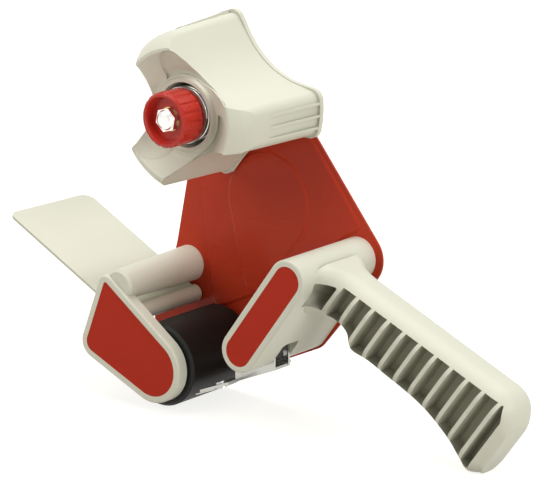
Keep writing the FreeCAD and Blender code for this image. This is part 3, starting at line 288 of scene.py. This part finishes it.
# %% Rubber
rubber = finish("black_rubber", (0.006, 0.006, 0.005), (0.012, 0.012, 0.010), 0.50,
                grain=1200.0, patch=40.0, dust=0.03, dust_colour=(0.20, 0.19, 0.17),
                specular=0.25)
tree = rubber.node_tree
place = add(tree, "ShaderNodeTexCoord").outputs["Object"]
rings = add(tree, "ShaderNodeTexWave", {"bands_direction": "Y"}, Vector=place,
            Scale=420.0, Distortion=1.5, Detail=2.0)
shader = tree.nodes["Principled BSDF"]
grain_normal = shader.inputs["Normal"].links[0].from_socket
ring_bump = add(tree, "ShaderNodeBump", Strength=0.6, Distance=0.02 * MM,
                Height=rings.outputs["Fac"], Normal=grain_normal)
tree.links.new(ring_bump.outputs[0], shader.inputs["Normal"])

# %% [markdown]
# ## Metals and felt
# The blade and its bracket are bright rolled steel with grain along the strip. Pins, screws and
# washers are zinc plated, a little duller and mottled. The nut and the spring wire are nickel
# plated and mirror-like. The bush and the knob's thread insert are turned brass. The friction
# disc behind the hub is pressed felt.

# %% Metals and felt
steel = finish("bright_steel", (0.40, 0.40, 0.38), (0.56, 0.56, 0.54), 0.24,
               rough_drift=0.08, grain=2200.0, patch=60.0, stretch=0.08, lift=0.004 * MM,
               metal=1.0, marks=0.3, marks_scale=120.0, dust=0.02)
zinc = finish("zinc_plate", (0.56, 0.56, 0.56), (0.70, 0.70, 0.69), 0.30,
              rough_drift=0.1, grain=1400.0, patch=220.0, lift=0.006 * MM,
              metal=1.0, marks=0.25, marks_scale=160.0, dust=0.03)
nickel = finish("nickel_plate", (0.80, 0.79, 0.76), (0.90, 0.89, 0.86), 0.20,
                rough_drift=0.04, grain=1800.0, patch=160.0, lift=0.002 * MM,
                metal=1.0, marks=0.15, marks_scale=200.0, dust=0.02)
brass = finish("turned_brass", (0.62, 0.44, 0.19), (0.72, 0.54, 0.26), 0.28,
               grain=1600.0, patch=120.0, lift=0.004 * MM,
               metal=1.0, marks=0.2, marks_scale=160.0, dust=0.02)
felt = finish("pressed_felt", (0.10, 0.09, 0.08), (0.20, 0.18, 0.15), 0.95,
              grain=2600.0, patch=300.0, lift=0.15 * MM, specular=0.1)

# %% [markdown]
# ## Giving the nodes their finish
# A CAD node keeps its mesh. Only the material in its slots changes. A table from each finish to
# its pieces shows at a glance what is made of what.

# %% Assign materials
finish_of = {
    cream: ["nose_cap", "handle", "tape_hub"],
    flap_cream: ["wiper_flap"],
    inlay_red: ["nose_inlay", "handle_inlay"],
    knob_red: ["tension_knob"],
    grey_plastic: ["roller_core", "roller_washer_near", "roller_washer_far"],
    enamel: ["side_plate"],
    rubber: ["roller_tyre"],
    steel: ["cutting_blade", "blade_bracket"],
    zinc: ["roller_pin", "flap_pin", "blade_rivets", "bracket_screws", "handle_screws",
           "pillar_screw", "axle_stud", "spring_seat_washer", "thrust_washer"],
    nickel: ["brake_spring", "cap_nut"],
    brass: ["hub_bush", "knob_insert"],
    felt: ["friction_disc"],
}
for material, names in finish_of.items():
    for name in names:
        if not nodes[name].material_slots:
            nodes[name].data.materials.append(material)
        for holder in nodes[name].material_slots:
            holder.material = material
print("finished nodes:", sum(len(names) for names in finish_of.values()))

# %% [markdown]
# ## The brake spring as a rule
# A compression spring is wire that follows a helix, with closed turns at both ends. The rule is
# short: how far the wire has climbed after a share of its turns. Geometry Nodes can follow it
# with a line of many points, each set by the rule, and sweep a wire circle along it.

# %% Spring tree
wire_points = 577
wire_sides = 14
spring_tree = bpy.data.node_groups.new("wound_spring", "GeometryNodeTree")
spring_inputs = {}
for label, kind in (("Coil Radius", "NodeSocketFloat"), ("Wire Radius", "NodeSocketFloat"),
                    ("Length", "NodeSocketFloat"), ("Turns", "NodeSocketFloat"),
                    ("Wire", "NodeSocketMaterial")):
    socket = spring_tree.interface.new_socket(label, in_out="INPUT", socket_type=kind)
    spring_inputs[label] = socket.identifier
spring_tree.interface.new_socket("Geometry", in_out="OUTPUT", socket_type="NodeSocketGeometry")
ends_in = spring_tree.nodes.new("NodeGroupInput")
ends_out = spring_tree.nodes.new("NodeGroupOutput")
coil, wire, length, turns, material = ends_in.outputs[:5]
line = add(spring_tree, "GeometryNodeMeshLine", {"mode": "OFFSET"}, Count=wire_points)
index = spring_tree.nodes.new("GeometryNodeInputIndex")
share = math_node(spring_tree, "DIVIDE", index.outputs[0], wire_points - 1.0)
turned = math_node(spring_tree, "MULTIPLY", share, turns)
angle = math_node(spring_tree, "MULTIPLY", turned, 2 * math.pi)
across = math_node(spring_tree, "MULTIPLY", math_node(spring_tree, "COSINE", angle), coil)
upward = math_node(spring_tree, "MULTIPLY", math_node(spring_tree, "SINE", angle), coil)
print("spring inputs:", list(spring_inputs))

# %% [markdown]
# The first and the last turn lie closed: each climbs by little more than one wire thickness. The
# turns between share the rest of the length evenly. Three clamped ramps add up to that.

# %% Spring climb
closed_pitch = 2.06
wire_step = math_node(spring_tree, "MULTIPLY", wire, closed_pitch)
first_turn = math_node(spring_tree, "MINIMUM", turned, 1.0)
last_start = math_node(spring_tree, "SUBTRACT", turns, 1.0)
past_start = math_node(spring_tree, "SUBTRACT", turned, last_start)
last_turn = math_node(spring_tree, "MAXIMUM", past_start, 0.0)
closed_turns = math_node(spring_tree, "ADD", first_turn, last_turn)
closed = math_node(spring_tree, "MULTIPLY", closed_turns, wire_step)
open_turns = math_node(spring_tree, "SUBTRACT", turns, 2.0)
open_length = math_node(spring_tree, "SUBTRACT", length,
                        math_node(spring_tree, "MULTIPLY", wire_step, 2.0))
past_first = math_node(spring_tree, "SUBTRACT", turned, 1.0)
open_done = math_node(spring_tree, "DIVIDE", past_first, open_turns, clamp=True)
open_climb = math_node(spring_tree, "MULTIPLY", open_done, open_length)
climb = math_node(spring_tree, "ADD", closed, open_climb)
print("one closed turn climbs by", closed_pitch, "wire radii")

# %% [markdown]
# The points of the line move to their places on the helix, the line becomes a curve, and a small
# circle swept along it is the wire.

# %% Spring wire
spot = add(spring_tree, "ShaderNodeCombineXYZ", X=across, Y=climb, Z=upward)
helix = add(spring_tree, "GeometryNodeSetPosition", Geometry=line.outputs[0],
            Position=spot.outputs[0])
path = add(spring_tree, "GeometryNodeMeshToCurve", Mesh=helix.outputs[0])
ring = add(spring_tree, "GeometryNodeCurvePrimitiveCircle", Resolution=wire_sides, Radius=wire)
swept = add(spring_tree, "GeometryNodeCurveToMesh", Curve=path.outputs[0],
            Profile_Curve=ring.outputs[0], Fill_Caps=True)
smooth = add(spring_tree, "GeometryNodeSetShadeSmooth", Geometry=swept.outputs[0])
real = add(spring_tree, "GeometryNodeRealizeInstances", Geometry=smooth.outputs[0])
coated = add(spring_tree, "GeometryNodeSetMaterial", Geometry=real.outputs[0], Material=material)
spring_tree.links.new(coated.outputs[0], ends_out.inputs[0])
print("spring tree:", len(spring_tree.nodes), "nodes")

# %% [markdown]
# The box of the CAD spring says where the coil stands and how long it is, so the new wire fits
# the same seat. It rides on the hub, where its far end rests.

# %% Wind the spring
wire_rad = 0.85 * MM
coil_turns = 9.0
low, high = (Vector(corner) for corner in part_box("brake_spring"))
axis_x = 0.5 * (low.x + high.x)
axis_z = 0.5 * (low.z + high.z)
coil_rad = 0.5 * (high.x - low.x) - wire_rad
spring = bpy.data.objects.new("brake_coil", bpy.data.meshes.new("brake_coil"))
bpy.context.scene.collection.objects.link(spring)
modifier = spring.modifiers.new("wind", "NODES")
modifier.node_group = spring_tree
for label, value in (("Coil Radius", coil_rad), ("Wire Radius", wire_rad),
                     ("Length", high.y - low.y - 2 * wire_rad), ("Turns", coil_turns),
                     ("Wire", nickel)):
    modifier[spring_inputs[label]] = value
bpy.context.view_layer.update()
depsgraph = bpy.context.evaluated_depsgraph_get()
wound = bpy.data.meshes.new_from_object(spring.evaluated_get(depsgraph))
spring.modifiers.clear()
spring.data = wound
for vertex in wound.vertices:
    vertex.co += Vector((axis_x, low.y + wire_rad, axis_z))
print("spring wire:", len(wound.polygons), "faces")
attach(spring, "hub")
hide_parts("brake_spring")
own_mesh(spring)

# %% [markdown]
# ## Floor
# The picture stands on white. A large pale sheet catches a faint shadow; where the camera or a
# mirror-like surface sees it, a little light of its own lifts it, so that it meets the white
# background without a line. One helper says which rays see the white surroundings.


# %% Floor
def seeing_rays(tree):
    """1 for the rays by which the camera, gloss or glass sees the surroundings, else 0."""
    rays = add(tree, "ShaderNodeLightPath").outputs
    shiny = math_node(tree, "MAXIMUM", rays["Is Glossy Ray"], rays["Is Transmission Ray"])
    return math_node(tree, "MAXIMUM", rays["Is Camera Ray"], shiny)


reach = 6.0
own_light = 0.80
warm_white = (1.0, 1.0, 0.985, 1.0)
corners = [(-reach, -reach, 0), (reach, -reach, 0), (reach, reach, 0), (-reach, reach, 0)]
floor_mesh = bpy.data.meshes.new("floor")
floor_mesh.from_pydata(corners, [], [(0, 1, 2, 3)])
floor = bpy.data.objects.new("floor", floor_mesh)
bpy.context.scene.collection.objects.link(floor)
paper = bpy.data.materials.new("floor_paper")
paper.use_nodes = True
tree = paper.node_tree
shader = tree.nodes["Principled BSDF"]
shader.inputs["Base Color"].default_value = (0.46, 0.44, 0.40, 1.0)
shader.inputs["Roughness"].default_value = 0.95
shader.inputs["Specular IOR Level"].default_value = 0.0
shader.inputs["Emission Color"].default_value = warm_white
glow = math_node(tree, "MULTIPLY", seeing_rays(tree), own_light)
tree.links.new(glow, shader.inputs["Emission Strength"])
floor_mesh.materials.append(paper)
print("floor reaches", reach, "m each way")

# %% [markdown]
# ## Surroundings
# A plain white world would light the object from all sides alike and wash out its forms. So the
# world is white only for the camera and in reflections. The light that it sheds is weaker, and
# runs from dim brown at the horizon to white overhead.

# %% World
quiet_strength = 0.36
world = bpy.data.worlds.new("studio")
world.use_nodes = True
bpy.context.scene.world = world
tree = world.node_tree
tree.nodes.clear()
direction = add(tree, "ShaderNodeTexCoord").outputs["Generated"]
height = add(tree, "ShaderNodeSeparateXYZ", Vector=direction).outputs["Z"]
ramp = add(tree, "ShaderNodeValToRGB", Fac=math_node(tree, "MULTIPLY_ADD", height, 0.5, 0.5))
dim_brown, overhead = ramp.color_ramp.elements
dim_brown.position = 0.45
dim_brown.color = (0.20, 0.16, 0.10, 1.0)
overhead.position = 0.85
overhead.color = (1.0, 1.0, 0.97, 1.0)
quiet = add(tree, "ShaderNodeBackground", Color=ramp.outputs[0], Strength=quiet_strength)
white = add(tree, "ShaderNodeBackground", Color=warm_white, Strength=1.0)
chosen = add(tree, "ShaderNodeMixShader", n0=seeing_rays(tree), n1=quiet.outputs[0],
             n2=white.outputs[0])
add(tree, "ShaderNodeOutputWorld", Surface=chosen.outputs[0])
print("world strength for its own light:", quiet_strength)

# %% [markdown]
# ## Lamps
# Three soft panels light the studio: a broad one above, one in front on the left, and one low on
# the right. Large panels make soft shadows and broad highlights, as a shop's product picture
# has. A function makes each, so that a panel is one line with its place, size and power.


# %% Lamps
def panel(name, spot, aim, wide, high, power, colour):
    """A rectangular soft light that looks from one point at another, in metres and watts."""
    data = bpy.data.lights.new(name, "AREA")
    data.shape = "RECTANGLE"
    data.size = wide
    data.size_y = high
    data.energy = power
    data.color = colour
    lamp = bpy.data.objects.new(name, data)
    lamp.location = spot
    lamp.rotation_euler = (Vector(spot) - Vector(aim)).to_track_quat("Z", "Y").to_euler()
    bpy.context.scene.collection.objects.link(lamp)
    print(name, power, "W")


middle = (0.0, 0.0, 0.09)
cool = (0.98, 1.0, 0.97)
warm = (1.0, 0.98, 0.93)
panel("top_panel", (-0.15, 0.05, 1.10), middle, 1.1, 0.9, 8.0, cool)
panel("front_panel", (-0.75, -1.10, 0.65), middle, 0.8, 0.8, 5.6, warm)
panel("side_panel", (1.30, -0.25, 0.45), middle, 0.7, 0.6, 8.6, cool)
